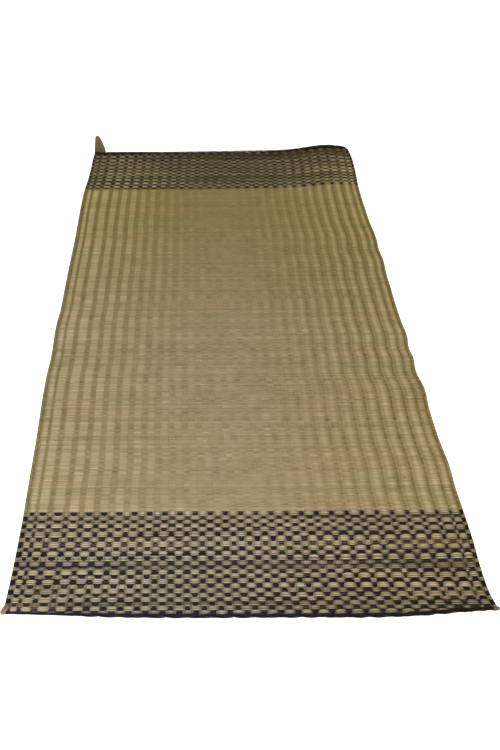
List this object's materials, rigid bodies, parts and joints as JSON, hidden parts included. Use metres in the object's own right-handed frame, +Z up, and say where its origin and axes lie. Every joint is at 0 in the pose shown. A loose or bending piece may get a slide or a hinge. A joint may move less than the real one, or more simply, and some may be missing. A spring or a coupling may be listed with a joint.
{
  "type": "madur grass floor mat",
  "caption": "Flat woven grass floor mat with ribbed natural reed and a dark check band at each end, one far end a little raised.",
  "frame": {"origin": "middle of the underside, on the floor", "axes": "+Y along the mat away from its near end, +Z up, +X across to the right"},
  "size_m": [0.9322, 1.8701, 0.0827],
  "materials": {
    "natural_reed": "satin",
    "dyed_reed": "satin",
    "tail_reed": "matte",
    "pale_cord": "matte"
  },
  "bodies": {
    "root": {"mat": "natural_reed", "end_twist_near": "dyed_reed", "end_twist_far": "dyed_reed", "end_cord_far": "pale_cord", "corner_tail_near_left": "tail_reed", "corner_tail_near_right": "tail_reed", "corner_tongue_far_left": "natural_reed"}
  },
  "joints": []
}
